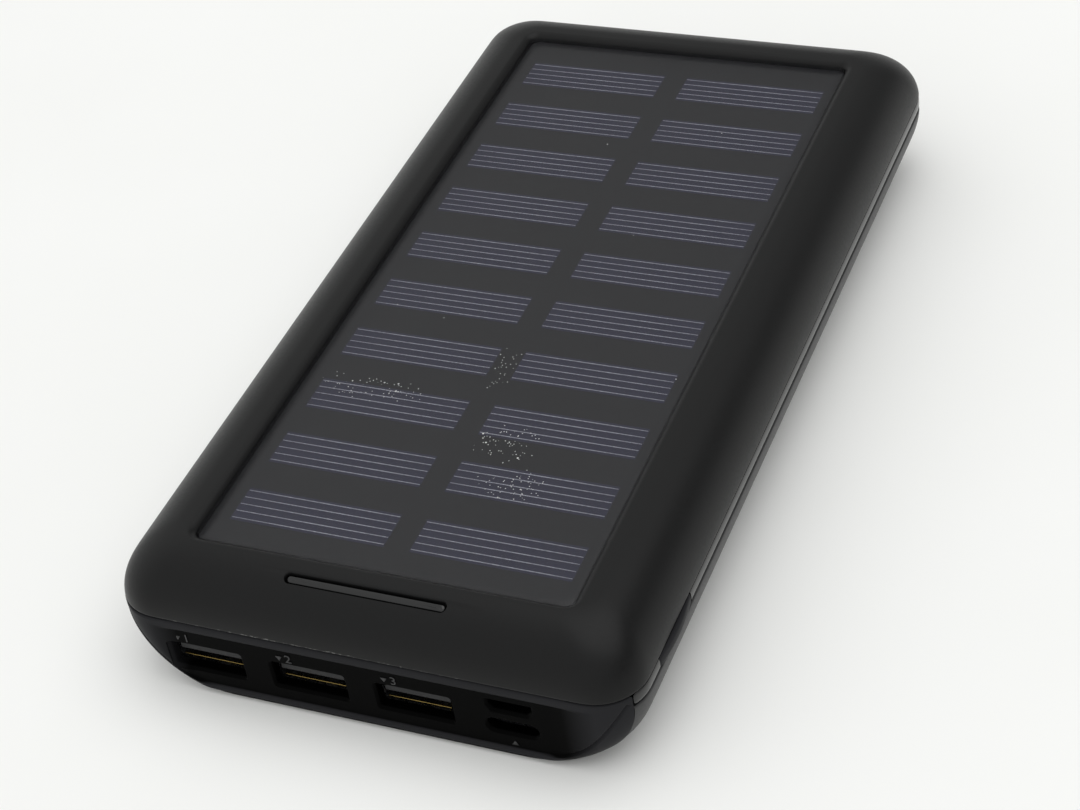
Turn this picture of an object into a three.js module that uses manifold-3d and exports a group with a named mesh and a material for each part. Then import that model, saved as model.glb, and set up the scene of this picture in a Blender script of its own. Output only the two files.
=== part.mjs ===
// Solar power bank, built from its separate pieces.
// Millimetres. X is the width, Y the length, Z up. The origin is under the middle of the case,
// on the surface it lies on. The port face looks along -Y and the solar panel looks up.

import * as THREE from 'three';
import { mergeVertices } from 'three/addons/utils/BufferGeometryUtils.js';
import Module from 'manifold-3d';

const wasm = await Module();
wasm.setup();

// ---------- driving dimensions ----------

const caseWidth = 90;
const caseLength = 170;
const caseHeight = 25.5;
const wall = 1.8;
const fitGap = 0.3;

const cornerRadius = 8; // plan corners at the seam
const cornerTightening = 0.3; // how much the plan corner shrinks per mm that the top rounds in
const topRoundReach = 10; // the top edge rounds in over this much of the width and length
const bottomRoundReach = 14; // the bottom edge rounds in more
const frontFootReach = 1.2; // the front face is upright nearly to the ground
const frontFootRise = 1.5;

const seamHeight = 15.8; // lower edge of the top shell
const bandFoot = 13.3; // lower edge of the side band
const seamGap = 0.1; // visible line between casing pieces
const bandThickness = 1.6;

const panelWidth = 65;
const panelLength = 147.4;
const panelCentreY = -0.7;
const panelTop = 24.7; // the laminate sits a little below the shell's rim
const panelCorner = 1.6;
const panelLip = 0.8; // bevel of the shell around the panel
const shelfTop = 22.3; // the ledge in the top shell that carries the panel
const shelfThickness = 1.3;

const cellRows = 10;
const cellPitch = 14.06;
const cellDepth = 7.6;
const cellWidth = 27.4;
const cellColumns = { left: -15.35, right: 16.45 };
const firstCellY = -64.8;
const cellFoot = 23.65;
const cellThickness = 0.3;

const barLength = 26.5; // indicator light bar
const barWidth = 1.7;
const barY = -78.9;
const barSink = 0.4;

const capDepth = 3.5; // end cap, front to back
const capFoot = 0.9; // height of the end cap's lower edge
const capSkin = 1.9; // thickness of the end cap's port face
const faceSink = 0.3; // the port face lies this far behind the cap's rim
const portBevel = 0.5;

const usbAFirstX = -28.8;
const usbAPitch = 18.3;
const usbACentres = [0, 1, 2].map((place) => usbAFirstX + place * usbAPitch);
const usbAHeight = 7.65; // height of the sockets' middle
const usbAOpening = { width: 12.6, height: 5.2 };
const usbABody = { width: 13.1, height: 5.7, depth: 14, skin: 0.35 };
const usbATongue = { width: 11.1, thickness: 1.84, roofGap: 0.6, blockLength: 4.2 };
const inputX = 24.2; // the two charging inputs stand one above the other
const microHeight = 11.0;
const microOpening = { top: 7.0, foot: 5.4, height: 1.9 };
const microBody = { top: 7.5, foot: 5.9, height: 2.5, depth: 5.6, skin: 0.25 };
const typeCHeight = 6.5;
const typeCOpening = { width: 8.3, height: 2.5 };
const typeCBody = { width: 8.9, height: 3.16, depth: 7.3, skin: 0.3 };

const buttonY = -65.9;
const buttonLength = 14.2;
const buttonGap = 0.15;
const buttonSwell = 0.6; // how far the middle of the button stands out of the side
const buttonStem = { length: 6, height: 1.0, tipX: 39.8 };
const buttonSlit = { length: 6.6, height: 1.5 }; // the hole for the stem in the band's web
const webThickness = 0.4;

const mainBoard = { width: 70.4, length: 20.6, thickness: 1.6, foot: 2.9 };
const componentRowY = -64.7; // between the sockets and the back edge of the main board
const solderGap = 0.1;
const inputBoard = { width: 10, length: 9.6, thickness: 1.0, foot: 8.4 };
const switchBoard = { x: 33.4, thickness: 1.0, length: 9.5, top: 18.3 };
const pushSwitch = { side: 6, depth: 3.3, boreRadius: 2.0, boreDepth: 1.2 };
const plunger = { radius: 1.7, length: 2.5, innerX: 37.0 };
const indicatorBoard = { width: 34, length: 4.8, thickness: 1.0, foot: 18.3 };
const lampPitch = 6;
const lampCount = 4;
const ribbon = { width: 5, thickness: 0.3 };
const leadDiameter = 1.2;
const leadHole = { x: -22, y: -66.5, width: 6, length: 4 }; // where the panel's leads pass the ledge

const pouch = { front: -52, length: 123, width: 67, thickness: 8.3, edgeRadius: 3.2 };
const pouchTab = { x: 12, width: 6, reach: 7, thickness: 0.3 };
const pouchFeet = { lower: 2.3, upper: 12.0 };
const pad = { width: 56, length: 110, thickness: 0.8, foot: 10.9 };

const halfWidth = caseWidth / 2;
const halfLength = caseLength / 2;
const capBack = -halfLength + capDepth;
const portFace = -halfLength + faceSink;
const portInside = portFace + capSkin;
const bandTop = seamHeight - seamGap;
const bandMiddle = (bandFoot + bandTop) / 2;
const shelfFoot = shelfTop - shelfThickness;
const socketFront = portInside + fitGap;
const boardFront = capBack + fitGap;
const boardTop = mainBoard.foot + mainBoard.thickness;
const inputBoardTop = inputBoard.foot + inputBoard.thickness;

// ---------- making solids ----------

function toSolid(geometry) {
  const bare = geometry.index ? geometry.toNonIndexed() : geometry.clone();
  bare.deleteAttribute('normal');
  bare.deleteAttribute('uv');
  const merged = mergeVertices(bare, 1e-4);
  return new wasm.Manifold(new wasm.Mesh({
    numProp: 3,
    vertProperties: new Float32Array(merged.attributes.position.array),
    triVerts: new Uint32Array(merged.index.array),
  }));
}

function toGeometry(solid) {
  const mesh = solid.getMesh();
  const shared = new THREE.BufferGeometry();
  shared.setAttribute('position', new THREE.BufferAttribute(new Float32Array(mesh.vertProperties), 3));
  shared.setIndex(new THREE.BufferAttribute(new Uint32Array(mesh.triVerts), 1));
  const faceted = shared.toNonIndexed();
  faceted.computeVertexNormals();
  return faceted;
}

// A box between two opposite corners.
function box(low, high) {
  const size = high.map((value, axis) => value - low[axis]);
  const middle = high.map((value, axis) => (value + low[axis]) / 2);
  return new THREE.BoxGeometry(...size).translate(...middle);
}

// A block that stands at height foot, centred on (x, y).
function block([x, y, foot], [width, length, height]) {
  return new THREE.BoxGeometry(width, length, height).translate(x, y, foot + height / 2);
}

// A rectangle with round corners, centred on (x, y).
function roundedRectangle(width, height, radius, x = 0, y = 0) {
  const right = width / 2 - radius;
  const top = height / 2 - radius;
  const shape = new THREE.Shape();
  shape.moveTo(x + right, y - top - radius);
  shape.absarc(x + right, y - top, radius, -Math.PI / 2, 0, false);
  shape.absarc(x + right, y + top, radius, 0, Math.PI / 2, false);
  shape.absarc(x - right, y + top, radius, Math.PI / 2, Math.PI, false);
  shape.absarc(x - right, y - top, radius, Math.PI, 1.5 * Math.PI, false);
  return shape;
}

// A closed outline through the given corners.
function polygon(corners) {
  return new THREE.Shape(corners.map(([x, y]) => new THREE.Vector2(x, y)));
}

// An outline in plan, raised from z = foot to z = top.
function extrudeUp(shape, foot, top, curveSegments = 5) {
  const depth = top - foot;
  const geometry = new THREE.ExtrudeGeometry(shape, { depth, bevelEnabled: false, curveSegments });
  return geometry.translate(0, 0, foot);
}

// An outline in the front view (x, z), carried from y = front to y = back.
function extrudeBack(shape, front, back, curveSegments = 5) {
  const depth = back - front;
  const geometry = new THREE.ExtrudeGeometry(shape, { depth, bevelEnabled: false, curveSegments });
  return geometry.rotateX(Math.PI / 2).translate(0, back, 0);
}

// A convex solid through a stack of outlines that have the same number of points. Seen from the
// last outline's side, the points run anticlockwise.
function loft(rings) {
  const count = rings[0].length;
  const positions = rings.flat().flatMap((point) => point.toArray());
  const index = [];
  for (let level = 0; level + 1 < rings.length; level += 1) {
    for (let i = 0; i < count; i += 1) {
      const a = level * count + i;
      const b = level * count + ((i + 1) % count);
      index.push(a, b, b + count, a, b + count, a + count);
    }
  }
  const last = (rings.length - 1) * count;
  for (let i = 1; i + 1 < count; i += 1) {
    index.push(0, i + 1, i);
    index.push(last, last + i, last + i + 1);
  }
  const geometry = new THREE.BufferGeometry();
  geometry.setAttribute('position', new THREE.Float32BufferAttribute(positions, 3));
  geometry.setIndex(index);
  return geometry;
}

// ---------- the case's outer form ----------

// How far a rounded edge has come in at a height above (or depth below) where it starts.
function roundInset(height, reach, rise, offset) {
  const share = Math.min(1, height / (rise - offset));
  return offset + (reach - offset) * (1 - Math.sqrt(1 - share * share));
}

// One level outline of the case, moved inwards by offset.
function caseOutline(z, offset) {
  const above = z - seamHeight;
  const below = bandFoot - z;
  let side = offset;
  let front = offset;
  let radius = cornerRadius - offset;
  if (above > 0) {
    side = roundInset(above, topRoundReach, caseHeight - seamHeight, offset);
    front = side;
    radius = cornerRadius - offset - cornerTightening * (side - offset);
  }
  if (below > 0) {
    side = roundInset(below, bottomRoundReach, bandFoot, offset);
    const foot = Math.max(0, frontFootRise - z);
    front = offset + frontFootReach * (1 - Math.sqrt(1 - Math.min(1, foot / frontFootRise) ** 2));
  }
  const length = caseLength - side - front;
  const shape = roundedRectangle(caseWidth - 2 * side, length, radius, 0, (front - side) / 2);
  return shape.getPoints(6).slice(0, -1).map((point) => new THREE.Vector3(point.x, point.y, z));
}

// Heights from foot to top that follow the rounded edges closely.
function caseLevels(offset, foot, top) {
  const steps = 8;
  const levels = [foot, top];
  for (let i = 0; i <= steps; i += 1) {
    const turn = Math.sin((i / steps) * (Math.PI / 2));
    levels.push(bandFoot - (bandFoot - offset) * turn);
    levels.push(seamHeight + (caseHeight - seamHeight - offset) * turn);
  }
  const inside = levels.filter((z) => z >= foot && z <= top);
  return [...new Set(inside)].sort((a, b) => a - b);
}

function caseForm(offset, foot, top) {
  return toSolid(loft(caseLevels(offset, foot, top).map((z) => caseOutline(z, offset))));
}

const outerForm = caseForm(0, 0, caseHeight);
const cavityForm = caseForm(wall, wall, shelfFoot);

function slab(low, high) {
  return toSolid(box(low, high));
}

// The part of the outer form between two heights, behind a given y.
function caseSlice(foot, top, front = -caseLength) {
  return outerForm.intersect(slab([-caseWidth, front, foot], [caseWidth, caseLength, top]));
}

// ---------- casing ----------

// The light bar's outline, grown by a gap for the slot that it stands in.
function barOutline(gap) {
  const width = barWidth + 2 * gap;
  return roundedRectangle(barLength + 2 * gap, width, width / 2, 0, barY);
}

function makeTopShell() {
  const windowAt = (grow, z) => roundedRectangle(
    panelWidth + fitGap + 2 * grow, panelLength + fitGap + 2 * grow, panelCorner + grow, 0, panelCentreY,
  ).getPoints(3).slice(0, -1).map((point) => new THREE.Vector3(point.x, point.y, z));
  const recess = toSolid(loft([
    windowAt(0, shelfTop),
    windowAt(0, panelTop),
    windowAt(panelLip, caseHeight),
    windowAt(panelLip, caseHeight + 1),
  ]));
  const barSlot = toSolid(extrudeUp(barOutline(fitGap), seamHeight, caseHeight + 1));
  const passage = toSolid(block(
    [leadHole.x, leadHole.y, shelfFoot - 1], [leadHole.width, leadHole.length, shelfThickness + 2],
  ));
  return caseSlice(seamHeight, caseHeight + 1)
    .subtract(cavityForm)
    .subtract(recess)
    .subtract(barSlot)
    .subtract(passage);
}

function makeBottomShell() {
  const capRoom = slab(
    [-caseWidth, -caseLength, capFoot - 2 * seamGap], [caseWidth, capBack + seamGap, caseHeight],
  );
  return caseSlice(0, bandFoot - seamGap).subtract(cavityForm).subtract(capRoom);
}

// A thin trim that runs round both sides and the back. A web behind the button joins its two ends.
function makeSideBand() {
  const inside = caseForm(bandThickness, wall, seamHeight + 1);
  const windowX = halfWidth - bandThickness + webThickness;
  const buttonWindow = slab(
    [windowX, buttonY - buttonLength / 2 - buttonGap, 0],
    [caseWidth, buttonY + buttonLength / 2 + buttonGap, caseHeight],
  );
  const stemHole = toSolid(block(
    [halfWidth, buttonY, bandMiddle - buttonSlit.height / 2],
    [2 * wall + 4, buttonSlit.length, buttonSlit.height],
  ));
  return caseSlice(bandFoot, bandTop, capBack + seamGap)
    .subtract(inside)
    .subtract(buttonWindow)
    .subtract(stemHole);
}

// The port face: flat at the top, its lower corners swept up towards the sides.
function faceOutline() {
  const outline = new THREE.Shape();
  const reach = 37.5;
  const top = bandTop - 2;
  const foot = capFoot + 1.3;
  const straight = 27; // half the length of the straight lower edge
  const swing = 6; // the sweep leaves the lower edge and meets the side over this distance
  outline.moveTo(-reach, top);
  outline.bezierCurveTo(-reach + 1, swing, -straight - swing, foot, -straight, foot);
  outline.lineTo(straight, foot);
  outline.bezierCurveTo(straight + swing, foot, reach - 1, swing, reach, top);
  return outline;
}

// The front plate: its port face lies behind a rim, and each port opens with a bevel.
function makeEndCap() {
  const plate = caseSlice(capFoot, bandTop).intersect(
    slab([-caseWidth, -caseLength, 0], [caseWidth, capBack, caseHeight]),
  );
  const facePocket = toSolid(extrudeBack(faceOutline(), -halfLength - 1, portFace, 6));
  const backPocket = slab([-36.2, portInside, 3], [36.2, capBack + 1, 13.6]);
  let cap = plate.subtract(facePocket).subtract(backPocket);
  for (const opening of portOpenings()) {
    cap = cap.subtract(opening);
  }
  return cap;
}

// Cuts a port: straight through the skin, and wider at the face.
function bevelledOpening(outlineAt) {
  const ringAt = (grow, y) => outlineAt(grow).getPoints(3).slice(0, -1)
    .map((point) => new THREE.Vector3(point.x, y, point.y));
  return toSolid(loft([
    ringAt(0, portInside + 1),
    ringAt(0, portFace + portBevel),
    ringAt(portBevel, portFace),
    ringAt(portBevel, portFace - 1),
  ]));
}

function portOpenings() {
  const usbA = usbACentres.map((x) => bevelledOpening((grow) => roundedRectangle(
    usbAOpening.width + 2 * grow, usbAOpening.height + 2 * grow, 0.3 + grow, x, usbAHeight,
  )));
  const micro = bevelledOpening((grow) => taperedPort(
    microOpening.top + 2 * grow, microOpening.foot + 2 * grow, microOpening.height + 2 * grow,
  ));
  const typeC = bevelledOpening((grow) => roundedRectangle(
    typeCOpening.width + 2 * grow, typeCOpening.height + 2 * grow,
    typeCOpening.height / 2 - 0.01 + grow, inputX, typeCHeight,
  ));
  return [...usbA, micro, typeC];
}

// Outline of the smaller input: wide at the top, with its lower corners cut.
function taperedPort(top, foot, height) {
  const high = microHeight + height / 2;
  const low = microHeight - height / 2;
  return polygon([
    [inputX - foot / 2, low],
    [inputX + foot / 2, low],
    [inputX + top / 2, low + height * 0.45],
    [inputX + top / 2, high],
    [inputX - top / 2, high],
    [inputX - top / 2, low + height * 0.45],
  ]);
}

function makeLightBar() {
  const prism = toSolid(extrudeUp(barOutline(0), shelfFoot - 0.6, caseHeight));
  return prism.intersect(outerForm.translate([0, 0, -barSink]));
}

// A long pad with a swelling face, a stem through the band's web and a bar that stops it falling out.
function makePowerButton() {
  const halfPad = buttonLength / 2;
  const padBack = halfWidth - 0.7;
  const swellRadius = (halfPad ** 2 + buttonSwell ** 2) / (2 * buttonSwell);
  const face = new THREE.Path();
  const halfAngle = Math.asin(halfPad / swellRadius);
  face.absarc(halfWidth + buttonSwell - swellRadius, buttonY, swellRadius, -halfAngle, halfAngle, false);
  const outline = polygon([
    [padBack, buttonY - halfPad],
    ...face.getPoints(8).map((point) => [point.x, point.y]),
    [padBack, buttonY + halfPad],
  ]);
  const swell = toSolid(extrudeUp(outline, bandFoot + buttonGap, bandTop - buttonGap));
  const stemLength = padBack + 0.1 - buttonStem.tipX;
  const stem = toSolid(block(
    [buttonStem.tipX + stemLength / 2, buttonY, bandMiddle - buttonStem.height / 2],
    [stemLength, buttonStem.length, buttonStem.height],
  ));
  const stopHeight = 2.6;
  const stop = toSolid(block(
    [halfWidth - 2.3, buttonY, bandMiddle - stopHeight / 2], [0.6, buttonSlit.length + 2.4, stopHeight],
  ));
  return swell.add(stem).add(stop);
}

// ---------- solar panel ----------

function panelSheet(foot, top) {
  const outline = roundedRectangle(panelWidth - fitGap, panelLength - fitGap, panelCorner, 0, panelCentreY);
  return extrudeUp(outline, foot, top, 3);
}

function solarCell() {
  return new THREE.BoxGeometry(cellWidth, cellDepth, cellThickness);
}

// ---------- sockets ----------

// A folded sheet-metal tube with a closed back, open towards -Y.
function socketShell(outline, inner, front, depth, skin) {
  const outside = toSolid(extrudeBack(outline, front, front + depth));
  const inside = toSolid(extrudeBack(inner, front - 1, front + depth - skin));
  return outside.subtract(inside);
}

function makeUsbAShell(x) {
  const { width, height, depth, skin } = usbABody;
  return socketShell(
    roundedRectangle(width, height, 0.6, x, usbAHeight),
    roundedRectangle(width - 2 * skin, height - 2 * skin, 0.3, x, usbAHeight),
    socketFront, depth, skin,
  );
}

// The insulator: a block at the back of the socket with a tongue near its roof.
function makeUsbATongue(x) {
  const play = 0.2;
  const back = socketFront + usbABody.depth - usbABody.skin - play;
  const halfInside = usbABody.height / 2 - usbABody.skin;
  const tip = portInside - play;
  const tongueTop = usbAHeight + halfInside - usbATongue.roofGap;
  const tongueFoot = tongueTop - usbATongue.thickness;
  const blockFront = back - usbATongue.blockLength;
  const side = polygon([
    [tip, tongueFoot],
    [blockFront, tongueFoot],
    [blockFront, usbAHeight - halfInside + play],
    [back, usbAHeight - halfInside + play],
    [back, usbAHeight + halfInside - play],
    [blockFront, usbAHeight + halfInside - play],
    [blockFront, tongueTop],
    [tip, tongueTop],
  ]);
  const geometry = new THREE.ExtrudeGeometry(side, { depth: usbATongue.width, bevelEnabled: false });
  geometry.rotateX(Math.PI / 2).rotateZ(Math.PI / 2);
  return geometry.translate(x - usbATongue.width / 2, 0, 0);
}

// Two short feet carry a small socket on its board.
function onFeet(tube, boardHeight, tubeFoot, skin) {
  const halfSpan = 2.3;
  const foot = boardHeight + solderGap;
  const feet = [-1, 1].map((side) => toSolid(block(
    [inputX + side * halfSpan, socketFront + 3.6, foot], [0.8, 1.2, tubeFoot + skin / 2 - foot],
  )));
  return tube.add(feet[0]).add(feet[1]);
}

function makeMicroShell() {
  const { top, foot, height, depth, skin } = microBody;
  const tube = socketShell(
    taperedPort(top, foot, height),
    taperedPort(top - 2 * skin, foot - 2 * skin, height - 2 * skin),
    socketFront, depth, skin,
  );
  return onFeet(tube, inputBoardTop, microHeight - height / 2, skin);
}

function makeTypeCShell() {
  const { width, height, depth, skin } = typeCBody;
  const tube = socketShell(
    roundedRectangle(width, height, height / 2 - 0.01, inputX, typeCHeight),
    roundedRectangle(width - 2 * skin, height - 2 * skin, height / 2 - skin - 0.01, inputX, typeCHeight),
    socketFront, depth, skin,
  );
  return onFeet(tube, boardTop, typeCHeight - height / 2, skin);
}

// A tongue that stands out of an insulating block at the back of a small socket.
function smallTongue(centreZ, socket, tongue, base) {
  const back = socketFront + socket.depth - socket.skin - 0.2;
  const baseLength = 1.2;
  const plate = toSolid(block(
    [inputX, back - tongue.length / 2, centreZ - tongue.thickness / 2],
    [tongue.width, tongue.length, tongue.thickness],
  ));
  return plate.add(toSolid(block(
    [inputX, back - baseLength / 2, centreZ - base.height / 2], [base.width, baseLength, base.height],
  )));
}

// ---------- electronics ----------

function makeSwitchBody() {
  const { side, depth, boreRadius, boreDepth } = pushSwitch;
  const back = switchBoard.x + switchBoard.thickness / 2 + fitGap;
  const body = toSolid(block([back + depth / 2, buttonY, bandMiddle - side / 2], [depth, side, side]));
  const bore = new THREE.CylinderGeometry(boreRadius, boreRadius, 2 * boreDepth, 16).rotateZ(Math.PI / 2);
  return body.subtract(toSolid(bore.translate(back + depth, buttonY, bandMiddle)));
}

function switchPlunger() {
  const { radius, length, innerX } = plunger;
  const pin = new THREE.CylinderGeometry(radius, radius, length, 16).rotateZ(Math.PI / 2);
  return pin.translate(innerX + length / 2, buttonY, bandMiddle);
}

// A smooth route through points given in order.
function route(points) {
  return new THREE.CatmullRomCurve3(points.map((point) => new THREE.Vector3(...point)));
}

// Flat flexible cable from the indicator board back over the sockets and down to the main board.
function makeRibbon() {
  const halfRibbon = ribbon.width / 2;
  const halfThickness = ribbon.thickness / 2;
  const section = polygon([
    [-halfRibbon, -halfThickness],
    [halfRibbon, -halfThickness],
    [halfRibbon, halfThickness],
    [-halfRibbon, halfThickness],
  ]);
  const extrudePath = route([
    [0, -75.8, 18.0],
    [0, -72.0, 17.6],
    [0, -68.4, 15.4],
    [0, -66.8, 10.5],
    [0, -66.5, boardTop + 0.2],
  ]);
  return new THREE.ExtrudeGeometry(section, { steps: 16, bevelEnabled: false, extrudePath });
}

function lead(points, steps) {
  const section = new THREE.Shape();
  section.absarc(0, 0, leadDiameter / 2, 0, 2 * Math.PI, false);
  return new THREE.ExtrudeGeometry(section, {
    steps, curveSegments: 4, bevelEnabled: false, extrudePath: route(points),
  });
}

// From the panel's solder pads through the ledge, down to the main board.
function panelLead(x) {
  return lead([
    [x, leadHole.y, shelfTop + 0.1],
    [x, leadHole.y - 0.1, 19.5],
    [x + 1, leadHole.y + 0.3, 13],
    [x + 1, leadHole.y + 0.9, 8],
    [x + 1, leadHole.y + 1.1, boardTop + 0.2],
  ], 18);
}

// From a pouch tab forwards and down to the main board. inward is the side its foot lies on.
function batteryLead(x, inward) {
  const tabHeight = pouchFeet.lower + pouch.thickness / 2;
  return lead([
    [x, -58.2, tabHeight + 0.9],
    [x, -59.4, tabHeight + 1.2],
    [x + 3 * inward, -61.0, tabHeight + 0.6],
    [x + 6.5 * inward, -62.2, boardTop + 1.6],
    [x + 7 * inward, -62.4, boardTop + 0.2],
  ], 14);
}

// A soft pouch with a sealed terrace and two flat tabs at its front end.
function makePouch(foot) {
  const { front, length, width, thickness, edgeRadius } = pouch;
  const middle = foot + thickness / 2;
  const outline = roundedRectangle(width, thickness, edgeRadius, 0, middle);
  const terrace = slab([-30, front - 3.5, middle - 0.4], [30, front + 1, middle + 0.4]);
  let body = toSolid(extrudeBack(outline, front, front + length, 4)).add(terrace);
  for (const x of [-pouchTab.x, pouchTab.x]) {
    body = body.add(toSolid(block(
      [x, front - pouchTab.reach / 2, middle - pouchTab.thickness / 2],
      [pouchTab.width, pouchTab.reach, pouchTab.thickness],
    )));
  }
  return body;
}

// ---------- materials ----------

function finish(color, roughness, metalness = 0) {
  return { color, roughness, metalness };
}

const finishes = {
  shell: finish(0x1b1b1c, 0.62),
  cap: finish(0x101012, 0.38),
  band: finish(0x0c0c0d, 0.12),
  lightBar: finish(0x2c2c2e, 0.25),
  panelSheet: finish(0x2a2b2f, 0.5),
  cell: finish(0x33334a, 0.35),
  film: finish(0x3c3d44, 0.4),
  board: finish(0x1d5c3a, 0.45),
  steel: finish(0xb9bbbf, 0.3, 1),
  insulator: finish(0x8f9094, 0.55),
  darkInsulator: finish(0x1a1a1c, 0.55),
  diode: finish(0xe8ecf2, 0.3),
  flex: finish(0xb87a2c, 0.4),
  pouch: finish(0xb4b8be, 0.35, 1),
  foam: finish(0x2b2b2b, 0.95),
  ferrite: finish(0x3a3a3d, 0.8),
  chip: finish(0x141416, 0.5),
  capacitorCan: finish(0xc8cacc, 0.3, 1),
  redLead: finish(0xb3202a, 0.5),
  blackLead: finish(0x161616, 0.5),
};

const powerBank = new THREE.Group();

function addPiece(name, shape, finishName, position = [0, 0, 0]) {
  const geometry = shape.isBufferGeometry ? shape : toGeometry(shape);
  const piece = new THREE.Mesh(geometry, new THREE.MeshStandardMaterial(finishes[finishName]));
  piece.name = name;
  piece.position.set(...position);
  powerBank.add(piece);
}

// ---------- assembly ----------

addPiece('top_shell', makeTopShell(), 'shell');
addPiece('bottom_shell', makeBottomShell(), 'shell');
addPiece('side_band', makeSideBand(), 'band');
addPiece('end_cap', makeEndCap(), 'cap');
addPiece('light_bar', makeLightBar(), 'lightBar');
addPiece('power_button', makePowerButton(), 'cap');

addPiece('panel_board', panelSheet(shelfTop + 0.2, cellFoot - 0.05), 'panelSheet');
addPiece('panel_film', panelSheet(cellFoot + cellThickness + 0.1, panelTop), 'film');
for (const [column, x] of Object.entries(cellColumns)) {
  for (let row = 0; row < cellRows; row += 1) {
    const name = `solar_cell_${column}_${String(row + 1).padStart(2, '0')}`;
    addPiece(name, solarCell(), 'cell', [x, firstCellY + row * cellPitch, cellFoot + cellThickness / 2]);
  }
}

const boardY = boardFront + mainBoard.length / 2;
const boardOutline = roundedRectangle(mainBoard.width, mainBoard.length, 4, 0, boardY);
addPiece('main_board', extrudeUp(boardOutline, mainBoard.foot, boardTop, 3), 'board');
usbACentres.forEach((x, index) => {
  addPiece(`usb_a_shell_${index + 1}`, makeUsbAShell(x), 'steel');
  addPiece(`usb_a_tongue_${index + 1}`, makeUsbATongue(x), 'insulator');
});
addPiece('micro_usb_shell', makeMicroShell(), 'steel');
addPiece('micro_usb_tongue', smallTongue(
  microHeight + 0.25, microBody, { width: 3.7, thickness: 0.6, length: 4.4 }, { width: 4.6, height: 1.1 },
), 'darkInsulator');
addPiece('usb_c_shell', makeTypeCShell(), 'steel');
addPiece('usb_c_tongue', smallTongue(
  typeCHeight, typeCBody, { width: 6.2, thickness: 0.7, length: 6.0 }, { width: 7.2, height: 1.8 },
), 'darkInsulator');
addPiece('input_board', block(
  [inputX, boardFront + inputBoard.length / 2, inputBoard.foot],
  [inputBoard.width, inputBoard.length, inputBoard.thickness],
), 'board');
addPiece('board_link_header', block(
  [inputX, -73.2, boardTop + 0.2], [7.6, 2.4, inputBoard.foot - boardTop - 0.4],
), 'chip');

const switchBoardFoot = boardTop + 0.2;
addPiece('switch_board', block(
  [switchBoard.x, buttonY, switchBoardFoot],
  [switchBoard.thickness, switchBoard.length, switchBoard.top - switchBoardFoot],
), 'board');
addPiece('switch_body', makeSwitchBody(), 'steel');
addPiece('switch_plunger', switchPlunger(), 'chip');

addPiece('indicator_board', block(
  [0, barY, indicatorBoard.foot], [indicatorBoard.width, indicatorBoard.length, indicatorBoard.thickness],
), 'board');
for (let lamp = 0; lamp < lampCount; lamp += 1) {
  const x = (lamp - (lampCount - 1) / 2) * lampPitch;
  const foot = indicatorBoard.foot + indicatorBoard.thickness + solderGap;
  addPiece(`indicator_led_${lamp + 1}`, block([x, barY, foot], [1.6, 1.2, 0.7]), 'diode');
}
addPiece('indicator_ribbon', makeRibbon(), 'flex');

addPiece('battery_cell_lower', makePouch(pouchFeet.lower), 'pouch');
addPiece('battery_pad', block(
  [0, pouch.front + pouch.length / 2, pad.foot], [pad.width, pad.length, pad.thickness],
), 'foam');
addPiece('battery_cell_upper', makePouch(pouchFeet.upper), 'pouch');

const partFoot = boardTop + solderGap;
addPiece('boost_inductor', block([-27.5, componentRowY, partFoot], [7, 7, 4]), 'ferrite');
addPiece('power_chip', block([-11, componentRowY, partFoot], [6, 6, 1]), 'chip');
const capacitor = { radius: 3.15, height: 5.4 };
const can = new THREE.CylinderGeometry(capacitor.radius, capacitor.radius, capacitor.height, 20);
addPiece('output_capacitor', can.rotateX(Math.PI / 2), 'capacitorCan',
  [14, componentRowY, partFoot + capacitor.height / 2]);

addPiece('panel_lead_red', panelLead(leadHole.x + 1), 'redLead');
addPiece('panel_lead_black', panelLead(leadHole.x - 1), 'blackLead');
addPiece('battery_lead_red', batteryLead(pouchTab.x, -1), 'redLead');
addPiece('battery_lead_black', batteryLead(-pouchTab.x, 1), 'blackLead');

export default powerBank;
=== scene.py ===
import math

import bmesh
import bpy
import numpy
from bpy.props import FloatProperty, FloatVectorProperty, IntProperty, PointerProperty
from mathutils import Matrix, Vector
from mathutils.geometry import interpolate_bezier


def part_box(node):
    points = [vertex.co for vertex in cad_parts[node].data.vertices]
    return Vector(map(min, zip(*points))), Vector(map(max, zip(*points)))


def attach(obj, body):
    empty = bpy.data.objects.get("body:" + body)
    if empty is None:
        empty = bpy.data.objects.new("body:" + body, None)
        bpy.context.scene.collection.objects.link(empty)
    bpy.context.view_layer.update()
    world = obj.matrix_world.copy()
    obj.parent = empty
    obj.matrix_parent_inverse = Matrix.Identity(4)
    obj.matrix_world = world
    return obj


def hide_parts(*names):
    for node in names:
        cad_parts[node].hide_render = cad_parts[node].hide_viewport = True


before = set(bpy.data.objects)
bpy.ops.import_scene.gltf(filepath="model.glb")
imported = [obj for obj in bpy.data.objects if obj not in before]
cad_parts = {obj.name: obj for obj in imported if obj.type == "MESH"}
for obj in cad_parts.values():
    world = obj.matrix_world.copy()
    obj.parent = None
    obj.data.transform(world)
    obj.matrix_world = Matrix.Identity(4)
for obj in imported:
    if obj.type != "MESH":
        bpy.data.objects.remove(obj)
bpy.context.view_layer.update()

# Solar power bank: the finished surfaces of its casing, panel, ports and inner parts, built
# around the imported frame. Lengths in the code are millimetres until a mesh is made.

bl_info = {
    "name": "Solar power bank",
    "version": (1, 0, 0),
    "blender": (4, 5, 0),
    "location": "3D Viewport > Sidebar > Power bank",
    "description": "Builds the casing, panel, ports and inner parts of a solar power bank",
    "category": "Object",
}

MM = 0.001


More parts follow.
